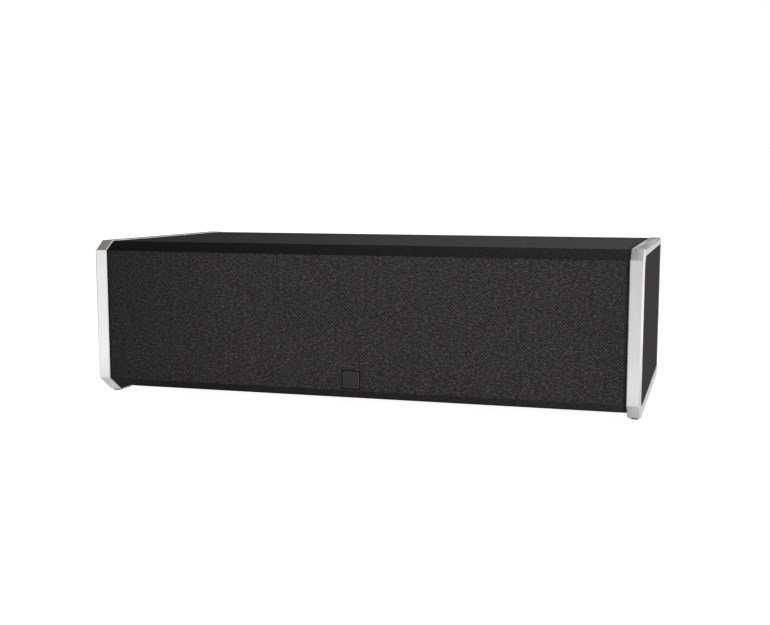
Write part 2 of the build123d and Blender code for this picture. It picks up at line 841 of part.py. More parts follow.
for colour, side in (("red", 1), ("black", -1)):
    place = on_back * Pos(side * post_spacing / 2, 0, 0)
    parts[f"{colour}_post"] = place * post
    parts[f"{colour}_knob"] = place * knob
    nuts.append(place * nut)
parts["post_nuts"] = group(nuts)

parts["wood_screws"] = group([place * wood_screw() for place in mid_screws + tweeter_screws + radiator_screws + cup_screws])

# Crossover board on the bottom panel, behind the left mid driver
board_low = inner_bottom + standoff_height
board_top = board_low + crossover_thickness
board_place = Pos(-mid_offset, crossover_offset, 0)
half_length = crossover_length / 2
half_width = crossover_width / 2
parts["crossover_board"] = board_place * block(
    (-half_length, half_length), (-half_width, half_width), (board_low, board_top)
)
parts["board_standoffs"] = group(
    board_place * Pos(x * (half_length - standoff_inset), y * (half_width - standoff_inset), 0)
    * rod(standoff_radius, inner_bottom, board_low)
    for x in (-1, 1)
    for y in (-1, 1)
)
coil = tube(coil_hole, coil_radius, board_top, board_top + coil_height)
coil_x = half_length - part_inset - coil_radius
parts["crossover_coils"] = group(board_place * Pos(x * coil_x, half_width - part_inset - coil_radius, 0) * coil for x in (-1, 1))
capacitor = Pos(0, 0, board_top + capacitor_radius) * Rot(90, 0, 0) * Cylinder(capacitor_radius, capacitor_length)
parts["crossover_capacitors"] = group(
    board_place * Pos(x * 2.5 * capacitor_radius, part_inset + capacitor_length / 2 - half_width, 0) * capacitor
    for x in (-1, 0, 1)
)
resistor = block(
    (-resistor_size / 2, resistor_size / 2),
    (-resistor_length / 2, resistor_length / 2),
    (board_top, board_top + resistor_size),
)
parts["crossover_resistors"] = group(
    board_place * Pos(x * (half_length - part_inset - resistor_size / 2), part_inset + resistor_length / 2 - half_width, 0) * resistor
    for x in (-1, 1)
)

os.makedirs("parts", exist_ok=True)
for name, shape in parts.items():
    export_step(shape, f"parts/{name}.step")
print(len(parts), "parts")
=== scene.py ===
import json
import math
import bmesh
import bpy
from mathutils import Matrix, Vector


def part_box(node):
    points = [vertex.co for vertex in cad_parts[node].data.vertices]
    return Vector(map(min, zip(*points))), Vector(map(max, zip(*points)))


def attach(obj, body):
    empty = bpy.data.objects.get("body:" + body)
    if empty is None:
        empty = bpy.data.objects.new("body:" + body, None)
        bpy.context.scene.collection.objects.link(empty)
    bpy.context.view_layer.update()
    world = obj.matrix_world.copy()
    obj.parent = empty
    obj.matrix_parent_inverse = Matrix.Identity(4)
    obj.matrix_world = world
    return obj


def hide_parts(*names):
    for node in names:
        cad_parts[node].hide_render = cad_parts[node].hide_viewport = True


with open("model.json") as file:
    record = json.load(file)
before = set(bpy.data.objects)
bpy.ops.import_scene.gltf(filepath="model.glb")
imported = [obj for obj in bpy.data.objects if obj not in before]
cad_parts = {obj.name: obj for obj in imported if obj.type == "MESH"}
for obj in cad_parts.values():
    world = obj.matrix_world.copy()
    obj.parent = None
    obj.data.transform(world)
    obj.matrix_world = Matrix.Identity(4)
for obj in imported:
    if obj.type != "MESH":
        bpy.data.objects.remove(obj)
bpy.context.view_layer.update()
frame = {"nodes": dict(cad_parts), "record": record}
nodes = frame["nodes"]
scene = bpy.context.scene
scene.view_settings.view_transform = "Standard"
print("frame loaded:", len(nodes), "nodes")


class Wire:  # one output socket that takes part in sums
    def __init__(self, bench, out):
        self.bench = bench
        self.out = out

    def maths(self, operation, *values):
        return self.bench.node("ShaderNodeMath", {"operation": operation}, dict(enumerate(values)))

    def __add__(self, other):
        return self.maths("ADD", self, other)

    def __radd__(self, other):
        return self.maths("ADD", other, self)

    def __sub__(self, other):
        return self.maths("SUBTRACT", self, other)

    def __rsub__(self, other):
        return self.maths("SUBTRACT", other, self)

    def __mul__(self, other):
        return self.maths("MULTIPLY", self, other)

    def __rmul__(self, other):
        return self.maths("MULTIPLY", other, self)

    def __truediv__(self, other):
        return self.maths("DIVIDE", self, other)

    def __rtruediv__(self, other):
        return self.maths("DIVIDE", other, self)

    def __pow__(self, other):
        return self.maths("POWER", self, other)

    def __rpow__(self, other):
        return self.maths("POWER", other, self)

    def __abs__(self):
        return self.maths("ABSOLUTE", self)

    def sine(self):
        return self.maths("SINE", self)

    def floor(self):
        return self.maths("FLOOR", self)

    def larger(self, other):
        return self.maths("MAXIMUM", self, other)


class Bench:  # makes nodes in any tree
    def __init__(self, tree):
        self.tree = tree

    def node(self, kind, settings=None, sockets=None, out=0):
        made = self.tree.nodes.new(kind)
        for key, value in (settings or {}).items():
            setattr(made, key, value)
        for key, value in (sockets or {}).items():
            if isinstance(value, Wire):
                self.tree.links.new(value.out, made.inputs[key])
            else:
                made.inputs[key].default_value = value
        return Wire(self, None if out is None else made.outputs[out])

    def step(self, value, low, high):  # soft step from 0 to 1
        settings = {"interpolation_type": "SMOOTHSTEP"}
        return self.node("ShaderNodeMapRange", settings, {0: value, 1: low, 2: high})

    def parts(self, vector):
        split = self.node("ShaderNodeSeparateXYZ", None, {0: vector})
        return [Wire(self, out) for out in split.out.node.outputs]

    def join(self, x, y, z):
        return self.node("ShaderNodeCombineXYZ", None, {0: x, 1: y, 2: z})

    def vectors(self, operation, sockets, out=0):
        return self.node("ShaderNodeVectorMath", {"operation": operation}, sockets, out)

    def tint(self, amount, first, second):  # colour between two colours
        return self.node("ShaderNodeMix", {"data_type": "RGBA"}, {0: amount, 6: first, 7: second}, 2)

    def grain(self, vector, scale, detail=2.0, rough=0.5):
        sizes = {"Vector": vector, "Scale": scale, "Detail": detail, "Roughness": rough}
        return self.node("ShaderNodeTexNoise", None, sizes)


class Finish(Bench):  # one material with its surface shader
    def __init__(self, name, fixed):
        self.material = bpy.data.materials.new(name)
        self.material.use_nodes = True
        super().__init__(self.material.node_tree)
        self.shader = self.tree.nodes["Principled BSDF"]
        for key, value in fixed.items():
            self.shader.inputs[key].default_value = value

    def millimetres(self):  # object coordinates in mm
        spot = self.node("ShaderNodeTexCoord", None, None, "Object")
        return self.vectors("SCALE", {0: spot, "Scale": 1000.0})

    def stretched(self, vector, x, y, z):
        return self.vectors("MULTIPLY", {0: vector, 1: (x, y, z)})

    def feed(self, socket, wire):
        self.tree.links.new(wire.out, self.shader.inputs[socket])

    def relief(self, height, strength, depth):
        sizes = {"Strength": strength, "Distance": depth, "Height": height}
        self.feed("Normal", self.node("ShaderNodeBump", None, sizes))


def tone(red, green, blue):
    return (red, green, blue, 1.0)


def grey(level):
    return tone(level, level, level)


# plain finishes: fine grain over a wide drift marks the colour and the roughness
speckle = {
    "wideScale": 0.06,
    "fineShare": 0.7,
    "wideShare": 0.3,
    "edges": (0.3, 0.7),
    "roughSpread": 0.12,
    "depth": 0.0002,
}


def speckled(name, colour, spread, scale, rough, metal=0.0, strength=0.15, fixed=None):
    finish = Finish(name, {"Metallic": metal, **(fixed or {})})
    spot = finish.millimetres()
    fine = finish.grain(spot, scale, 4.0, 0.6)
    wide = finish.grain(spot, scale * speckle["wideScale"], 2.0)
    mark = finish.step(fine * speckle["fineShare"] + wide * speckle["wideShare"], *speckle["edges"])
    darker = tone(*[part * (1 - spread) for part in colour])
    lighter = tone(*[min(1.0, part * (1 + spread)) for part in colour])
    finish.feed("Base Color", finish.tint(mark, darker, lighter))
    finish.feed("Roughness", rough + (mark - 0.5) * speckle["roughSpread"])
    finish.relief(fine, strength, speckle["depth"])
    return finish.material


# grille cloth: a dark plain weave with small black weft points, read in mm from the cloth's own attribute,
# whose third part carries painted shade and light: darker chamfers, a painted shadow along the edges, darker
# ends and a lighter foot
clothTones = {
    "acrossPitch": 1.75,
    "upPitch": 1.5,
    "bend": (0.11, 3.0),  # scale of the warp's waver and how far it moves a thread, mm
    "drift": (0.13, 2.6),  # the same for the weft
    "slub": (0.3, 0.58, 0.0),  # thick and thin yarn
    "streak": (0.5, 0.012, 0.0),  # thicker and thinner warp threads
    "patch": 0.05,
    "overEdge": (-0.5, 0.0),
    "shadeEdge": (-0.5, 0.45),
    "gap": grey(0.006),
    "weft": grey(0.004),
    "warp": tone(0.0650, 0.0630, 0.0650),
    "warm": tone(0.0898, 0.0793, 0.0819),
    "cool": tone(0.0606, 0.0606, 0.0639),
    "paintedShade": 0.45,  # how much darker the cloth is at a painted shade amount of 1
    "rough": 0.77,
    "relief": (0.35, 0.0003),
}


def clothFinish():
    finish = Finish("grilleCloth", {"Specular IOR Level": 0.1})
    weave = finish.node("ShaderNodeAttribute", {"attribute_name": "weave"}, None, "Vector")
    across, up, paintedShade = finish.parts(weave)
    bendScale, bendReach = clothTones["bend"]
    driftScale, driftReach = clothTones["drift"]
    bend = finish.grain(weave, bendScale, 3.0, 0.7)
    drift = finish.grain(finish.stretched(weave, 1.0, -1.0, 1.0), driftScale, 3.0, 0.7)
    u = (across + (bend - 0.5) * bendReach) / clothTones["acrossPitch"]
    v = (up + (drift - 0.5) * driftReach) / clothTones["upPitch"]
    sideA = (u * math.pi).sine()
    sideB = (v * math.pi).sine()
    over = finish.step(sideA * sideB, *clothTones["overEdge"])  # 1 where the warp lies on top
    ridgeA = abs(sideA)
    ridgeB = abs(sideB)
    height = over * ridgeA * ridgeB ** 0.5 + (1 - over) * ridgeB * ridgeA ** 0.5
    cell = finish.join(u.floor(), v.floor(), 0.0)
    chance = finish.node("ShaderNodeTexWhiteNoise", {"noise_dimensions": "2D"}, {"Vector": cell})
    slub = finish.grain(finish.stretched(weave, *clothTones["slub"]), 1.0, 4.0, 0.75)
    slub = finish.step(slub, 0.36, 0.64)
    streak = finish.grain(finish.stretched(weave, *clothTones["streak"]), 1.0, 2.0)
    patch = finish.grain(weave, clothTones["patch"], 3.0, 0.6)
    yarn = finish.tint(finish.step(slub, 0.7, 1.0), clothTones["warp"], clothTones["warm"])
    yarn = finish.tint(finish.step(patch, 0.55, 0.7), yarn, clothTones["cool"])
    dark = (1 - over) * (0.15 + 0.6 * finish.step(chance, 0.1, 0.8))
    yarn = finish.tint(dark, yarn, clothTones["weft"])
    shade = finish.step(height, *clothTones["shadeEdge"])
    shade = shade * (0.1 + slub * 0.6 + patch * 0.15 + streak * 0.3)
    # painted shade from the attribute's third part; where that part is below 0 it is painted light
    shade = shade * (1 - paintedShade * clothTones["paintedShade"])
    finish.feed("Base Color", finish.tint(shade, clothTones["gap"], yarn))
    finish.feed("Roughness", clothTones["rough"] - shade * 0.1 + dark * 0.1)
    finish.relief(height * (0.8 + 0.4 * slub), *clothTones["relief"])
    return finish.material


# end frames: satin aluminium, brushed round the ring, black on the face towards the cabinet
metalTones = {
    "light": grey(0.86),
    "dark": tone(0.70, 0.702, 0.71),
    "inside": grey(0.012),
    "insideEdge": (0.03, 0.07),  # mm out from that face
    "brush": (7.0, 0.05, 0.05),
    "cloud": 0.035,
    "dust": 2.2,
    "rough": 0.3,
    "insideRough": 0.3,
    "relief": (0.06, 0.0001),
}


def metalFinish():
    finish = Finish("satinAluminium", {"Anisotropic": 0.35})
    spot = finish.millimetres()
    lines = finish.grain(finish.stretched(spot, *metalTones["brush"]), 1.0, 3.0, 0.65)
    cloud = finish.grain(spot, metalTones["cloud"], 2.0)
    dust = finish.grain(spot, metalTones["dust"], 3.0, 0.7)
    worn = finish.step(lines * 0.6 + dust * 0.4, 0.34, 0.66)
    sheen = finish.tint(worn * 0.6 + cloud * 0.4, metalTones["dark"], metalTones["light"])
    across = finish.parts(spot)[0]
    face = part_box("right_end_frame")[0].x * 1000
    inner = 1 - finish.step(abs(across), *[face + edge for edge in metalTones["insideEdge"]])
    finish.feed("Base Color", finish.tint(inner, sheen, metalTones["inside"]))
    finish.feed("Metallic", 1 - inner)
    finish.feed("Roughness", metalTones["rough"] + (worn - 0.5) * 0.1 + inner * metalTones["insideRough"])
    finish.relief(lines, *metalTones["relief"])
    return finish.material


# side panels: dark satin lacquer with a faint moulded grain and a painted shadow along the top and bottom
# edges, where the frame's rim meets the panel
panelTones = {
    "low": tone(0.0248, 0.0223, 0.023),
    "high": tone(0.0344, 0.0312, 0.032),
    "paintedGapShadow": grey(0.0052),
    "paintedGapShadowEdge": (0.8, 2.4),  # mm in from the panel's edge
    "cloud": 0.02,
    "pebble": 1.5,
    "rough": 0.8,
    "relief": (0.12, 0.0002),
}


def panelFinish():
    finish = Finish("darkSidePanel", {"Specular IOR Level": 0.08})
    spot = finish.millimetres()
    cloud = finish.grain(spot, panelTones["cloud"], 3.0)
    pebble = finish.grain(spot, panelTones["pebble"], 3.0, 0.6)
    mark = finish.step(cloud * 0.3 + pebble * 0.7, 0.3, 0.7)
    low, high = [corner * 1000 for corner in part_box("right_side_panel")]
    up = finish.parts(spot)[2]
    inset = (high.z - low.z) / 2 - abs(up - (low.z + high.z) / 2)
    # painted shadow beside the frame's rim, darker towards the top and bottom edges
    paintedGapShadow = finish.step(inset, *panelTones["paintedGapShadowEdge"])
    face = finish.tint(mark, panelTones["low"], panelTones["high"])
    finish.feed("Base Color", finish.tint(paintedGapShadow, panelTones["paintedGapShadow"], face))
    finish.feed("Roughness", panelTones["rough"] + (pebble - 0.5) * 0.2)
    finish.relief(pebble, *panelTones["relief"])
    return finish.material


# badge place: black plate, left bare, with a worn border
badgeTones = {
    "face": tone(0.026, 0.026, 0.0268),
    "edge": tone(0.055, 0.05, 0.047),
    "borderEdge": (6.6, 6.9),  # mm from the plate's middle
    "scratch": (5.0, 5.0, 0.3),
    "rough": 0.3,
    "relief": (0.04, 0.0001),
}


def badgeFinish(low, high):
    finish = Finish("badgePlate", {"Specular IOR Level": 0.25})
    spot = finish.millimetres()
    across, along, up = finish.parts(spot)
    middle = (low + high) * 500.0  # in mm
    reach = abs(across - middle.x).larger(abs(up - middle.z))
    border = finish.step(reach, *badgeTones["borderEdge"])
    scratch = finish.grain(finish.stretched(spot, *badgeTones["scratch"]), 1.0, 3.0)
    worn = border * (0.7 + 0.3 * scratch)
    finish.feed("Base Color", finish.tint(worn, badgeTones["face"], badgeTones["edge"]))
    finish.feed("Roughness", badgeTones["rough"] + 0.15 * scratch)
    finish.relief(scratch, *badgeTones["relief"])
    return finish.material


# each slot's finish: name, colour, spread of the colour, grains per mm, roughness, then metal and relief
slotFinishes = {
    "end_metal": metalFinish(),
    "side_dark": panelFinish(),
    "pad_rubber": speckled("padRubber", (0.016, 0.0155, 0.015), 0.35, 1.6, 0.75, strength=0.3),
    "moulding": speckled("blackMoulding", (0.018, 0.018, 0.0185), 0.25, 2.4, 0.5, strength=0.25),
    "fibreboard": speckled("fibreboard", (0.36, 0.25, 0.15), 0.22, 1.2, 0.8, strength=0.3),
    "wadding": speckled("wadding", (0.62, 0.62, 0.6), 0.15, 0.3, 0.95, strength=0.7),
    "cast_basket": speckled("blackCasting", (0.02, 0.02, 0.02), 0.3, 1.8, 0.55, strength=0.35),
    "cone": speckled("coneFibre", (0.035, 0.035, 0.038), 0.3, 0.9, 0.6, strength=0.3),
    "rubber": speckled("rollRubber", (0.014, 0.014, 0.014), 0.25, 1.0, 0.5),
    "spider_cloth": speckled("spiderCloth", (0.42, 0.27, 0.1), 0.3, 1.4, 0.85, strength=0.5),
    "coil_metal": speckled("coilWinding", (0.5, 0.24, 0.1), 0.2, 3.0, 0.35, 1.0),
    "steel": speckled("platedSteel", (0.55, 0.55, 0.54), 0.12, 1.0, 0.35, 1.0),
    "ferrite": speckled("ferrite", (0.045, 0.045, 0.048), 0.25, 1.0, 0.6, strength=0.3),
    "dome_metal": speckled("domeAluminium", (0.72, 0.72, 0.73), 0.06, 1.2, 0.3, 1.0, 0.05),
    "circuit_board": speckled("circuitBoard", (0.02, 0.1, 0.04), 0.25, 0.8, 0.4),
    "copper": speckled("copperWinding", (0.6, 0.24, 0.1), 0.2, 2.0, 0.3, 1.0),
    "capacitor": speckled("capacitorFilm", (0.45, 0.3, 0.03), 0.15, 0.8, 0.35),
    "cement": speckled("cementBody", (0.66, 0.65, 0.6), 0.12, 1.5, 0.85, strength=0.4),
    "gold": speckled("goldPlating", (0.85, 0.58, 0.22), 0.06, 1.4, 0.24, 1.0, 0.05),
    "red_plastic": speckled("redPlastic", (0.42, 0.012, 0.012), 0.12, 1.2, 0.28, strength=0.06),
    "black_plastic": speckled("blackPlastic", (0.014, 0.014, 0.014), 0.2, 1.2, 0.28, strength=0.06),
    "screw_steel": speckled("blackenedSteel", (0.05, 0.05, 0.052), 0.3, 2.0, 0.38, 0.8, 0.1),
}
dull = {"Specular IOR Level": 0.05}
nodeFinishes = {
    "front_grille_frame": speckled("dullMoulding", (0.003, 0.003, 0.003), 0.25, 2.4, 0.9, fixed=dull),
}
for entry in frame["record"]["subparts"]:
    finish = nodeFinishes.get(entry["node"]) or slotFinishes.get(entry["material_slot"])
    if finish:
        mesh = nodes[entry["node"]].data
        mesh.materials.clear()
        mesh.materials.append(finish)
print("finishes:", len(slotFinishes) + len(nodeFinishes))


def addPiece(name, mesh, finish=None):
    piece = bpy.data.objects.new(name, mesh)
    scene.collection.objects.link(piece)
    if finish:
        mesh.materials.clear()
        mesh.materials.append(finish)
    return piece


def plainMesh(piece):  # what the modifiers give, as a mesh of its own
    bpy.context.view_layer.update()
    return bpy.data.meshes.new_from_object(piece.evaluated_get(bpy.context.evaluated_depsgraph_get()))


def cutAway(piece, cutter):
    cut = piece.modifiers.new("cut", "BOOLEAN")
    cut.operation = "DIFFERENCE"
    cut.solver = "EXACT"
    cut.object = cutter


def settle(piece, helpers):  # the modifiers' result becomes the piece's mesh, and their helpers go
    mesh = plainMesh(piece)
    piece.modifiers.clear()
    piece.data = mesh
    for helper in helpers:
        bpy.data.objects.remove(helper)
    return mesh


def smooth(mesh):
    mesh.polygons.foreach_set("use_smooth", [True] * len(mesh.polygons))


def meshFrom(name, points, faces):
    mesh = bpy.data.meshes.new(name)
    mesh.from_pydata([tuple(point) for point in points], [], faces)
    mesh.update()
    return mesh


def outwards(mesh):
    work = bmesh.new()
    work.from_mesh(mesh)
    bmesh.ops.remove_doubles(work, verts=work.verts, dist=1e-7)
    bmesh.ops.recalc_face_normals(work, faces=work.faces)
    work.to_mesh(mesh)
    work.free()
    mesh.update()
    return mesh


def roundedSquare(half, corner, steps):  # points of a square with round corners, about its middle
    points = []
    for quarter in range(4):
        middleX = (1 if quarter in (0, 3) else -1) * (half[0] - corner)
        middleZ = (1 if quarter in (0, 1) else -1) * (half[1] - corner)
        turn = quarter * math.pi / 2
        for step in range(steps + 1):
            angle = turn + step * math.pi / 2 / steps
            points.append((middleX + corner * math.cos(angle), middleZ + corner * math.sin(angle)))
    return points


def stackedLoops(name, loops):  # closed skin over loops of equal length
    points = [point for loop in loops for point in loop]
    count = len(loops[0])
    faces = [list(range(count))[::-1], [(len(loops) - 1) * count + k for k in range(count)]]
    for row in range(len(loops) - 1):
        lower, upper = row * count, (row + 1) * count
        for k in range(count):
            after = (k + 1) % count
            faces.append([lower + k, lower + after, upper + after, upper + k])
    return outwards(meshFrom(name, points, faces))


# cloth sleeve, wrapped round the cabinet with a lapped seam underneath
clothSizes = {
    "chamferDepth": 0.01266,
    "chamferHeight": 0.00896,
    "edgeRound": 0.0014,
    "edgeSteps": 5,
    "thickness": 0.0008,
    "hemDip": 0.0005,
    "hemWidth": 0.0012,
    "hemShape": ((0.0, 1.0), (0.35, 0.3), (1.0, 0.0)),  # shares of the hem's width and dip
    "topShadow": 0.0034,
    "hemShadow": 0.0041,
    "paintedShadeTop": (2.1, 1.3),  # painted shade on the upper chamfer, from its left end to its right
    "paintedShadeLow": (1.5, 0.12),  # painted shade on the lower chamfer
    # painted shadow in a strip along the cloth's edges beside the end frames
    "paintedShadowHem": 1.9,
    "paintedShadeEnds": ((0.85, 0.27), (0.35, 0.12)),  # painted shade on the front: amount at each end, and over what share of the width
    "paintedLightFoot": (-0.55, 0.5),  # painted light on the front, as a negative amount: the same from the lower edge upwards
    "paintedShadeRoof": ((0.5, 0.5), (0.2, 0.3)),  # painted shade on the top: as for the front's ends
    "seamPlace": 0.095,
    "seamRise": 0.006,
    "seamStep": 0.001,
    "lap": 0.009,
    "lapProud": 0.0008,
    "stepLength": 0.02,
    "holes": {"badge": (0.0009, 0.0014), "terminal_cup": (0.0002, 0.0082)},  # room all round, corner radius
    "holeReach": 0.004,
    "holeSteps": 6,
    "sharpFrom": 35,  # degrees
}
onFace = 1e-4  # nearer than this counts as on the face
onEdge = 1e-5


def clothCorners(low, high):  # side view, from the back bottom edge over the top to the front
    deep, tall = clothSizes["chamferDepth"], clothSizes["chamferHeight"]
    pairs = [
        (high.y, low.z),
        (high.y, high.z),
        (low.y + deep, high.z),
        (low.y, high.z - tall),
        (low.y, low.z + tall),
        (low.y + deep, low.z),
    ]
    return [Vector(pair) for pair in pairs]


def roundedRun(corners, start, finish, radius, steps):  # open line from start past the corners to finish
    line = [start] + corners + [finish]
    run = [start]
    for before, corner, after in zip(line[:-2], line[1:-1], line[2:]):
        inwards = (before - corner).normalized()
        onwards = (after - corner).normalized()
        half = inwards.angle(onwards) / 2
        reach = radius / math.tan(half)
        middle = corner + (inwards + onwards).normalized() * radius / math.sin(half)
        first = corner + inwards * reach - middle
        last = corner + onwards * reach - middle
        sweep = math.pi - 2 * half
        for step in range(steps + 1):
            share = step / steps
            arm = first * math.sin((1 - share) * sweep) + last * math.sin(share * sweep)
            run.append(middle + arm / math.sin(sweep))
    return run + [finish]


def divided(run, longest):  # extra points on long straight runs
    fine = [run[0]]
    for first, last in zip(run[:-1], run[1:]):
        count = max(1, math.ceil((last - first).length / longest))
        fine += [first.lerp(last, (k + 1) / count) for k in range(count)]
    return fine


def nearest(run, lengths, spot):  # length along the line at the point nearest to spot
    best = (1e9, 0.0)
    for first, last, start in zip(run[:-1], run[1:], lengths):
        side = last - first
        share = min(1.0, max(0.0, (spot - first).dot(side) / side.length_squared))
        gap = (spot - first - side * share).length
        best = min(best, (gap, start + share * side.length))
    return best[1]


def roundedBlock(name, low, high, corner):  # block along Y with round edges
    half = ((high.x - low.x) / 2, (high.z - low.z) / 2)
    middle = (low + high) / 2
    loop = roundedSquare(half, corner, clothSizes["holeSteps"])
    loops = [[(middle.x + x, y, middle.z + z) for x, z in loop] for y in (low.y, high.y)]
    return stackedLoops(name, loops)


def sleeveLine(low, high):  # side view of the cloth from its first edge round to the lap, with its lengths
    seam, below = clothSizes["seamPlace"], low.z - clothSizes["lapProud"]
    start = Vector((seam, low.z))
    rise = Vector((seam - clothSizes["seamRise"], low.z))
    corners = clothCorners(low, high)
    run = roundedRun(corners, start, rise, clothSizes["edgeRound"], clothSizes["edgeSteps"])
    run = divided(run, clothSizes["stepLength"])
    run.append(Vector((seam - clothSizes["seamStep"], below)))
    run.append(Vector((seam + clothSizes["lap"], below)))
    lengths = [0.0]
    for first, last in zip(run[:-1], run[1:]):
        lengths.append(lengths[-1] + (last - first).length)
    return run, lengths


def sleeveColumns(low, high):  # places across the cloth, with the dip of the hem there
    hem, dip, shadow = [clothSizes[key] for key in ("hemWidth", "hemDip", "hemShadow")]
    span = high.x - low.x - 2 * shadow
    count = round(span / clothSizes["stepLength"])
    edge = [(hem * share, dip * depth) for share, depth in clothSizes["hemShape"]]
    edge.append((clothSizes["topShadow"], 0.0))
    columns = [(low.x + inset, depth) for inset, depth in edge]
    columns += [(low.x + shadow + span * k / count, 0.0) for k in range(count + 1)]
    return columns + [(high.x - inset, depth) for inset, depth in reversed(edge)]


def sleeveSheet(run, columns):
    points, faces = [], []
    for k, spot in enumerate(run):
        way = (run[min(k + 1, len(run) - 1)] - run[max(k - 1, 0)]).normalized()
        inwards = Vector((-way.y, way.x))
        for x, depth in columns:
            place = spot + inwards * depth
            points.append((x, place.x, place.y))
    wide = len(columns)
    for row in range(len(run) - 1):
        for k in range(wide - 1):
            corner = row * wide + k
            faces.append([corner, corner + wide, corner + wide + 1, corner + 1])
    return meshFrom("clothSleeve", points, faces)


def holeCutters(low, high):  # blocks for the badge in front and the terminal cup behind
    cutters = []
    for node, (room, corner) in clothSizes["holes"].items():
        nodeLow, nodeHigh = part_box(node)
        margin = Vector((room, 0.0, room))
        face = low.y if node == "badge" else high.y
        nodeLow, nodeHigh = nodeLow - margin, nodeHigh + margin
        nodeLow.y = face - clothSizes["holeReach"]
        nodeHigh.y = face + clothSizes["holeReach"]
        name = "hole_" + node
        cutters.append(addPiece(name, roundedBlock(name, nodeLow, nodeHigh, corner)))
    return cutters


def fading(share, amount, reach):  # full at 0, none from reach on
    return amount * max(0.0, 1 - share / reach)


def paintedClothShade(spot, low, high):  # painted shade and light on the cloth: darker on the chamfers, in a strip along the edges and towards the ends, lighter low on the front
    x, y, z = spot
    deep, tall = clothSizes["chamferDepth"], clothSizes["chamferHeight"]
    span = high.x - low.x
    # width of the painted shadow strip along the cloth's edge
    dark = clothSizes["hemWidth"]
    if z > high.z - tall / 2 and y > low.y + deep - onFace:
        dark = clothSizes["topShadow"]
    if min(x - low.x, high.x - x) < dark + onEdge:
        return clothSizes["paintedShadowHem"]
    # painted shade on the chamfers, graded from left to right
    if low.y + onFace < y < low.y + deep - onFace and not low.z + tall < z < high.z - tall:
        left, right = clothSizes["paintedShadeTop" if z > (low.z + high.z) / 2 else "paintedShadeLow"]
        return left + (right - left) * (x - low.x) / span
    onFront = y < low.y + onFace
    if not onFront and z <= high.z - onFace:
        return 0.0
    # painted shade towards the ends of the front and the top
    left, right = clothSizes["paintedShadeEnds" if onFront else "paintedShadeRoof"]
    paintedAmount = fading((x - low.x) / span, *left) + fading((high.x - x) / span, *right)
    # painted light low on the front
    if onFront:
        paintedAmount += fading((z - low.z - tall) / (high.z - low.z - 2 * tall), *clothSizes["paintedLightFoot"])
    return paintedAmount


def writeWeave(mesh, run, lengths, low, high):  # mm across, mm round and the painted shade amount, for the finish
    weave = mesh.attributes.new("weave", "FLOAT_VECTOR", "POINT")
    body = (run[:-2], lengths[:-2])
    lap = (run[-3:], lengths[-3:])
    for vertex, value in zip(mesh.vertices, weave.data):
        x, y, z = vertex.co
        line = lap if z < low.z - onEdge else body
        value.vector = (x * 1000, nearest(*line, Vector((y, z))) * 1000, paintedClothShade(vertex.co, low, high))


def clothSleeve():
    low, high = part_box("fabric_sleeve")
    run, lengths = sleeveLine(low, high)
    piece = addPiece("clothSleeve", sleeveSheet(run, sleeveColumns(low, high)))
    wall = piece.modifiers.new("wall", "SOLIDIFY")
    wall.thickness = clothSizes["thickness"]
    wall.offset = -1.0
    cutters = holeCutters(low, high)
    for cutter in cutters:
        cutAway(piece, cutter)
    mesh = settle(piece, cutters)
    writeWeave(mesh, run, lengths, low, high)
    mesh.materials.clear()
    mesh.materials.append(clothFinish())
    smooth(mesh)
    mesh.set_sharp_from_angle(angle=math.radians(clothSizes["sharpFrom"]))
    return piece, high.x - low.x, lengths[-1]


sleeve, sleeveWidth, sleeveLength = clothSleeve()
print("cloth sleeve:", len(sleeve.data.polygons), "faces,", round(sleeveLength, 4), "m round")


def startTree(name, inputs):  # a tree's bench, its input wires and its inputs' identifiers
    tree = bpy.data.node_groups.new(name, "GeometryNodeTree")
    sockets = {}
    for label, kind in inputs.items():
        socket = tree.interface.new_socket(label, in_out="INPUT", socket_type="NodeSocket" + kind)
        sockets[label] = socket.identifier
    tree.interface.new_socket("Geometry", in_out="OUTPUT", socket_type="NodeSocketGeometry")
    bench = Bench(tree)
    source = bench.node("NodeGroupInput").out.node
    given = {out.name: Wire(bench, out) for out in source.outputs if out.name}
    return bench, given, sockets


def endTree(bench, placed, finish):  # instances made real and dressed
    real = bench.node("GeometryNodeRealizeInstances", None, {0: placed})
    dressed = bench.node("GeometryNodeSetMaterial", None, {"Geometry": real, "Material": finish})
    bench.node("NodeGroupOutput", None, {0: dressed}, None)


def growBy(piece, tree, sockets, values):  # puts the tree on the piece with its inputs set
    grow = piece.modifiers.new("grow", "NODES")
    grow.node_group = tree
    for name, value in values.items():
        grow[sockets[name]] = value


# stitches along the lapped seam
stitchSizes = {
    "spacing": 0.0032,
    "length": 0.0022,
    "thickness": 0.00045,
    "inset": 0.012,
    "rows": (0.0022, 0.0062),
    "segments": 8,
    "rings": 5,
}


def stitchTree():
    inputs = {name: "Float" for name in ("Spacing", "Length", "Thickness")}
    inputs.update({"Count": "Int", "Finish": "Material"})
    bench, given, sockets = startTree("seamStitches", inputs)
    offset = bench.join(given["Spacing"], 0.0, 0.0)
    line = bench.node("GeometryNodeMeshLine", None, {"Count": given["Count"], "Offset": offset})
    shape = {"Segments": stitchSizes["segments"], "Rings": stitchSizes["rings"], "Radius": 0.5}
    bead = bench.node("GeometryNodeMeshUVSphere", None, shape)
    size = bench.join(given["Length"], given["Thickness"], given["Thickness"])
    setting = {"Points": line, "Instance": bead, "Scale": size}
    placed = bench.node("GeometryNodeInstanceOnPoints", None, setting)
    endTree(bench, placed, given["Finish"])
    return bench.tree, sockets


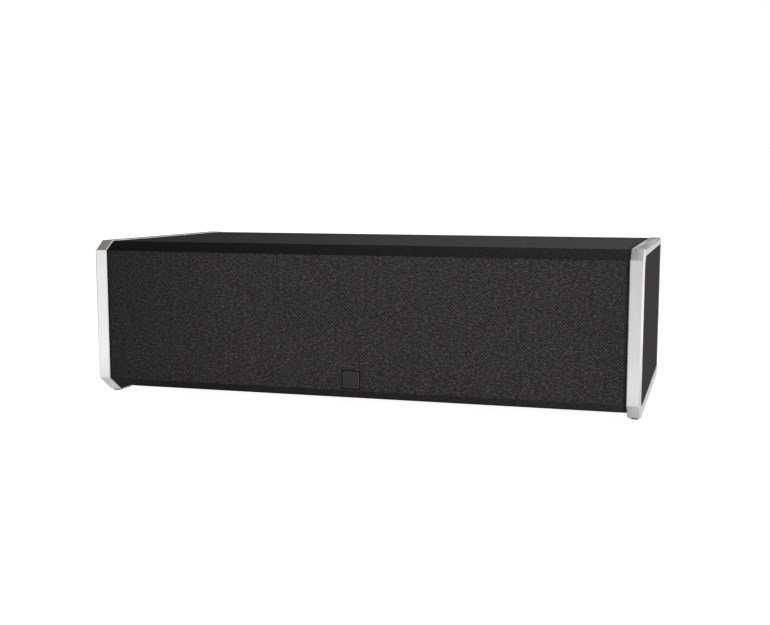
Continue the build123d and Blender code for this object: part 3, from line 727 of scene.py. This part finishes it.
def seamStitches(sleeveLow, sleeveHigh, finish):
    tree, sockets = stitchTree()
    spacing, inset = stitchSizes["spacing"], stitchSizes["inset"]
    length = sleeveHigh.x - sleeveLow.x - 2 * inset
    count = int(length / spacing)
    start = sleeveLow.x + inset + (length - (count - 1) * spacing) / 2
    level = sleeveLow.z - clothSizes["lapProud"]
    values = {
        "Spacing": spacing,
        "Length": stitchSizes["length"],
        "Thickness": stitchSizes["thickness"],
        "Count": count,
        "Finish": finish,
    }
    joined = bmesh.new()
    for place in stitchSizes["rows"]:
        row = addPiece("stitchRow", bpy.data.meshes.new("stitchRow"))
        growBy(row, tree, sockets, values)
        mesh = plainMesh(row)
        mesh.transform(Matrix.Translation((start, clothSizes["seamPlace"] + place, level)))
        joined.from_mesh(mesh)
        bpy.data.objects.remove(row)
    mesh = bpy.data.meshes.new("seamStitches")
    joined.to_mesh(mesh)
    joined.free()
    smooth(mesh)
    return addPiece("seamStitches", mesh, finish)


threadFinish = speckled("seamThread", (0.02, 0.02, 0.02), 0.3, 6.0, 0.6, strength=0.2)
stitches = seamStitches(*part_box("fabric_sleeve"), threadFinish)
print("seam stitches:", len(stitches.data.polygons), "faces")


# badge place: bare plate with a slim raised border
badgeSizes = {
    "corner": 0.0012,
    "leastCorner": 0.0003,
    "cornerSteps": 5,
    "bevel": 0.00025,
    "border": 0.001,
    "slope": 0.0002,
    "floor": 0.0008,
    "sink": 0.0003,
}


def badgePlate():
    low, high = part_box("badge")
    middle = (low + high) / 2
    half = (high.x - low.x) / 2
    bevel, border = badgeSizes["bevel"], badgeSizes["border"]
    sunk = low.y + badgeSizes["sink"]
    rings = [
        (0.0, high.y),
        (0.0, low.y + bevel),
        (bevel, low.y),
        (border, low.y),
        (border + badgeSizes["slope"], sunk),
        (border + badgeSizes["floor"], sunk),
    ]
    loops = []
    for shrink, y in rings:
        corner = max(badgeSizes["leastCorner"], badgeSizes["corner"] - shrink)
        loop = roundedSquare((half - shrink, half - shrink), corner, badgeSizes["cornerSteps"])
        loops.append([(middle.x + x, y, middle.z + z) for x, z in loop])
    return addPiece("badgePlate", stackedLoops("badgePlate", loops), badgeFinish(low, high))


badge = badgePlate()
print("badge plate:", len(badge.data.polygons), "faces")


# screws: pan heads with a cross recess, set by a tree on points that carry their direction
screwSizes = {
    "radius": 0.00175,
    "length": 0.015,
    "tip": 0.0003,
    "tipStart": 0.8,  # share of the length
    "headRadius": 0.0035,
    "headHeight": 0.0022,
    "crown": ((1.0, 0.35), (0.93, 0.68), (0.8, 0.9), (0.66, 1.0)),  # shares of the head's radius and height
    "recessReach": 0.0017,
    "recessWidth": 0.0008,
    "recessDepth": 0.0012,
    "recessTaper": 0.7,
    "sides": 24,
    "mostTurn": 1.5,
    "seed": 7,
    "rings": {"left_mid_basket": 0.05475, "right_mid_basket": 0.05475, "tweeter_faceplate": 0.036},
    "radiatorRing": 0.096,
    "cupInset": 0.0065,
}


def turnedLoops(profile, sides):
    circle = [(math.cos(2 * math.pi * k / sides), math.sin(2 * math.pi * k / sides)) for k in range(sides)]
    return [[(radius * x, radius * y, height) for x, y in circle] for radius, height in profile]


def screwModel():
    size = screwSizes
    head, tall = size["headRadius"], size["headHeight"]
    profile = [
        (size["tip"], -size["length"]),
        (size["radius"], -size["length"] * size["tipStart"]),
        (size["radius"], -0.0002),
        (head - 0.0001, 0.0),
        (head, 0.0002),
    ]
    profile += [(head * wide, tall * high) for wide, high in size["crown"]]
    model = addPiece("screwModel", stackedLoops("screwModel", turnedLoops(profile, size["sides"])))
    reach, wide, taper = size["recessReach"], size["recessWidth"] / 2, size["recessTaper"]
    cross = [(reach, wide), (wide, wide), (wide, reach), (-wide, reach), (-wide, wide), (-reach, wide)]
    cross += [(-x, -y) for x, y in cross]
    bottom = [(x * taper, y * taper, tall - size["recessDepth"]) for x, y in cross]
    top = [(x, y, tall + 0.0005) for x, y in cross]  # past the head
    cutter = addPiece("recessCutter", stackedLoops("recessCutter", [bottom, top]))
    cutAway(model, cutter)
    settle(model, [cutter])
    return model


def screwPlaces():  # seat of each head and the way it points
    places = []

    def ring(centre, across, up, aim, radius, count, first):
        for k in range(count):
            angle = math.radians(first + 360 * k / count)
            places.append((centre + across * radius * math.cos(angle) + up * radius * math.sin(angle), aim))

    east, south, top = Vector((1, 0, 0)), Vector((0, -1, 0)), Vector((0, 0, 1))
    for node, radius in screwSizes["rings"].items():
        low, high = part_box(node)
        centre = (low + high) / 2
        centre.y = low.y
        ring(centre, east, top, south, radius, 4, 45)
    low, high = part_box("radiator_frame")
    centre = (low + high) / 2
    centre.z = low.z
    ring(centre, east, -south, -top, screwSizes["radiatorRing"], 8, 22.5)
    low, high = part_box("terminal_cup")
    inset = screwSizes["cupInset"]
    for x in (low.x + inset, high.x - inset):
        for z in (low.z + inset, high.z - inset):
            places.append((Vector((x, high.y - screwSizes["headHeight"], z)), -south))
    return places


def screwTree():
    inputs = {"Geometry": "Geometry", "Screw": "Object", "Scale": "Float", "Finish": "Material"}
    bench, given, sockets = startTree("setScrews", inputs)
    aim = bench.node("GeometryNodeInputNamedAttribute", {"data_type": "FLOAT_VECTOR"}, {"Name": "aim"})
    turn = bench.node("FunctionNodeAlignRotationToVector", {"axis": "Z"}, {"Vector": aim})
    draw = {2: 0.0, 3: screwSizes["mostTurn"], "Seed": screwSizes["seed"]}
    chance = bench.node("FunctionNodeRandomValue", {"data_type": "FLOAT"}, draw, 1)
    twist = bench.node("FunctionNodeAxisAngleToRotation", None, {"Axis": (0, 0, 1), "Angle": chance})
    turn = bench.node("FunctionNodeRotateRotation", {"rotation_space": "LOCAL"}, {0: turn, 1: twist})
    model = bench.node("GeometryNodeObjectInfo", None, {"Object": given["Screw"]}, "Geometry")
    setting = {"Points": given["Geometry"], "Instance": model, "Rotation": turn, "Scale": given["Scale"]}
    placed = bench.node("GeometryNodeInstanceOnPoints", None, setting)
    endTree(bench, placed, given["Finish"])
    return bench.tree, sockets


def setScrews():
    model = screwModel()
    places = screwPlaces()
    mesh = meshFrom("cabinetScrews", [place for place, aim in places], [])
    aims = mesh.attributes.new("aim", "FLOAT_VECTOR", "POINT")
    for value, (place, aim) in zip(aims.data, places):
        value.vector = aim
    piece = addPiece("cabinetScrews", mesh)
    tree, sockets = screwTree()
    growBy(piece, tree, sockets, {"Screw": model, "Scale": 1.0, "Finish": slotFinishes["screw_steel"]})
    settle(piece, [model])
    return piece, len(places)


screws, screwCount = setScrews()
print("screws:", screwCount, "with", len(screws.data.polygons), "faces")

dressed = (
    (sleeve, "cloth", "fabric_sleeve"),
    (badge, "badge_dark", "badge"),
    (screws, "screw_steel", "wood_screws"),
)
for piece, slot, node in dressed:
    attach(piece, "cabinet")
    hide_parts(node)
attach(stitches, "cabinet")
print("pieces ride on the cabinet")


# floor: pale, and lit by zones that the metal mirrors; edges in mm, where one level fades into the next
floorLook = {
    "size": 12.0,
    "tone": grey(0.85),
    "seen": grey(0.96),
    "near": grey(0.185),
    "nearLeft": grey(0.4),
    "nearLeftEdge": (190.0, 270.0),
    "back": grey(0.06),
    "backEdge": (300.0, 900.0),
    "front": grey(0.8),
    "frontEdge": (125.0, 230.0),
    "right": grey(0.51),
    "rightFoot": (250.0, -130.0),
    "rightLean": 0.067,
    "rightEdge": (150.0, 350.0),
    "left": grey(0.895),
    "leftFoot": (-256.0, -130.0),
    "leftWay": (0.515, 0.857),
    "leftEdge": (120.0, 320.0),
    "leftStart": (150.0, 500.0),
    "side": grey(1.2),
    "sideEdge": (450.0, 750.0),
    "sideBack": grey(0.68),
    "sideBackEdge": (-50.0, 150.0),
}


def studioFloor():
    mesh = bpy.data.meshes.new("studioFloor")
    work = bmesh.new()
    bmesh.ops.create_grid(work, x_segments=8, y_segments=8, size=floorLook["size"])
    work.to_mesh(mesh)
    work.free()
    fixed = {"Roughness": 0.9, "Specular IOR Level": 0.1, "Emission Strength": 1.0}
    finish = Finish("paleFloor", {"Base Color": floorLook["tone"], **fixed})
    spot = finish.millimetres()
    away = finish.vectors("LENGTH", {0: spot}, 1)
    across, along = finish.parts(spot)[:2]

    def share(value, edges):
        return finish.step(value, *floorLook[edges])

    near = finish.tint(share(0 - across, "nearLeftEdge"), floorLook["near"], floorLook["nearLeft"])
    lit = finish.tint(share(away, "backEdge"), near, floorLook["back"])
    footX, footY = floorLook["leftFoot"]  # the left band mirrors a strip from here
    wayX, wayY = floorLook["leftWay"]
    aside = abs((across - footX) * wayY - (along - footY) * wayX)
    strip = (1 - share(aside, "leftEdge")) * share(0 - along, "leftStart")
    footX, footY = floorLook["rightFoot"]  # the right band, from here
    aside = abs(across - footX - (along - footY) * floorLook["rightLean"])
    front = finish.tint(share(aside, "rightEdge"), floorLook["right"], floorLook["front"])
    front = finish.tint(strip, front, floorLook["left"])
    lit = finish.tint(share(0 - along, "frontEdge"), lit, front)
    side = finish.tint(share(along, "sideBackEdge"), floorLook["side"], floorLook["sideBack"])
    lit = finish.tint(share(across, "sideEdge"), lit, side)
    seen = finish.node("ShaderNodeLightPath", None, None, "Is Camera Ray")  # the floor itself reads white
    finish.feed("Emission Color", finish.tint(seen, lit, floorLook["seen"]))
    addPiece("studioFloor", mesh, finish.material)


# sky: bright left, dim front and ceiling; edges are parts of a direction, where one level fades into the next
skyLook = {
    "seen": grey(1.0),
    "front": grey(0.161),
    "backLeft": tone(0.13, 0.122, 0.118),
    "backRight": tone(0.17, 0.163, 0.16),
    "backRightEdge": (-0.45, -0.12),
    "backEdge": (-0.6, 0.4),
    "right": grey(0.326),
    "rightEdge": (0.35, 0.9),
    "left": grey(1.05),
    "leftEdge": (0.15, 0.55),
    "leftFrontEdge": (-0.6, 0.2),
    "ceilingFront": grey(0.056),
    "ceilingBack": tone(0.285, 0.269, 0.259),
    "ceilingBackEdge": (-0.2, 0.15),
    "ceilingEdge": (0.15, 0.7),
    "overhead": grey(0.15),
    "overheadWay": (0.05, 0.3, 0.952),
    "overheadEdge": (0.84, 0.96),
    "glow": grey(1.1),  # lights the right frame's outer bevel
    "glowWay": (0.629, 0.596, 0.5),
    "glowEdge": (0.87, 0.96),
}


def studioSky():
    world = bpy.data.worlds.new("studioSky")
    scene.world = world
    world.use_nodes = True
    bench = Bench(world.node_tree)
    way = bench.node("ShaderNodeTexCoord", None, None, "Generated")
    across, along, up = bench.parts(way)

    def share(value, edges):
        return bench.step(value, *skyLook[edges])

    def facing(target):
        return bench.vectors("DOT_PRODUCT", {0: way, 1: skyLook[target]}, 1)

    back = bench.tint(share(across, "backRightEdge"), skyLook["backLeft"], skyLook["backRight"])
    wall = bench.tint(share(along, "backEdge"), skyLook["front"], back)
    wall = bench.tint(share(across, "rightEdge"), wall, skyLook["right"])
    leftShare = share(0 - across, "leftEdge") * share(0 - along, "leftFrontEdge")
    wall = bench.tint(leftShare, wall, skyLook["left"])
    ceiling = bench.tint(share(along, "ceilingBackEdge"), skyLook["ceilingFront"], skyLook["ceilingBack"])
    ceiling = bench.tint(share(facing("overheadWay"), "overheadEdge"), ceiling, skyLook["overhead"])
    light = bench.tint(share(up, "ceilingEdge"), wall, ceiling)
    light = bench.tint(share(facing("glowWay"), "glowEdge"), light, skyLook["glow"])
    seen = bench.node("ShaderNodeLightPath", None, None, "Is Camera Ray")
    shown = bench.tint(seen, light, skyLook["seen"])
    ground = world.node_tree.nodes["Background"]
    world.node_tree.links.new(shown.out, ground.inputs["Color"])


# lamps: metres, watts, and degrees of beam
middle = (0.0, 0.0, 0.07)
lamps = {
    "frontLight": {
        "place": (0.5, -1.0, 0.75),
        "target": (0.14, 0.0, 0.07),
        "size": (0.5, 0.5),
        "power": 0.34,
        "beam": 40.0,
    },
    "sideLight": {"place": (0.95, -0.85, 0.75), "target": middle, "size": (0.5, 0.5), "power": 0.7},
    "rearLight": {"place": (1.0, 2.4, 1.3), "target": middle, "size": (1.4, 1.0), "power": 1.8},
    "fillLight": {
        "place": (0.4, 1.2, 1.8),
        "target": (0.15, 0.0, 0.1),
        "size": (0.8, 0.8),
        "power": 1.9,
        "beam": 60.0,
    },
    "rimLight": {"place": (1.15, 2.8, 0.75), "target": middle, "size": (0.5, 0.5), "power": 0.15},
}


def softLight(name, place, target, size, power, beam=180.0):
    data = bpy.data.lights.new(name, "AREA")
    data.shape = "RECTANGLE"
    data.size, data.size_y = size
    data.energy = power
    data.spread = math.radians(beam)
    lamp = bpy.data.objects.new(name, data)
    scene.collection.objects.link(lamp)
    lamp.location = place
    lamp.rotation_euler = (Vector(target) - Vector(place)).to_track_quat("-Z", "Y").to_euler()


# camera as the photo was taken
cameraView = {
    "place": (0.32295, -1.09325, 0.20053),
    "yaw": 16.0099,
    "pitch": 7.1836,
    "roll": -0.1326,
    "sensor": 36.0,
    "lens": 52.0776,
    "shiftX": -0.01883,
    "shiftY": 0.02328,
}


def photoCamera():
    yaw, pitch, roll = [math.radians(cameraView[key]) for key in ("yaw", "pitch", "roll")]
    ahead = Vector((-math.sin(yaw) * math.cos(pitch), math.cos(yaw) * math.cos(pitch), -math.sin(pitch)))
    level = Vector((math.cos(yaw), math.sin(yaw), 0.0))
    down = ahead.cross(level)
    right = level * math.cos(roll) + down * math.sin(roll)
    up = level * math.sin(roll) - down * math.cos(roll)
    turn = Matrix((right, up, -ahead)).transposed()
    data = bpy.data.cameras.new("photoCamera")
    data.sensor_width = cameraView["sensor"]
    data.lens = cameraView["lens"]
    data.shift_x = cameraView["shiftX"]
    data.shift_y = cameraView["shiftY"]
    data.dof.use_dof = False
    camera = bpy.data.objects.new("photoCamera", data)
    scene.collection.objects.link(camera)
    camera.matrix_world = Matrix.Translation(cameraView["place"]) @ turn.to_4x4()
    scene.camera = camera


studioFloor()
studioSky()
for name, lamp in lamps.items():
    softLight(name, **lamp)
photoCamera()
print("studio ready:", len(lamps), "lamps")

bpy.context.view_layer.update()
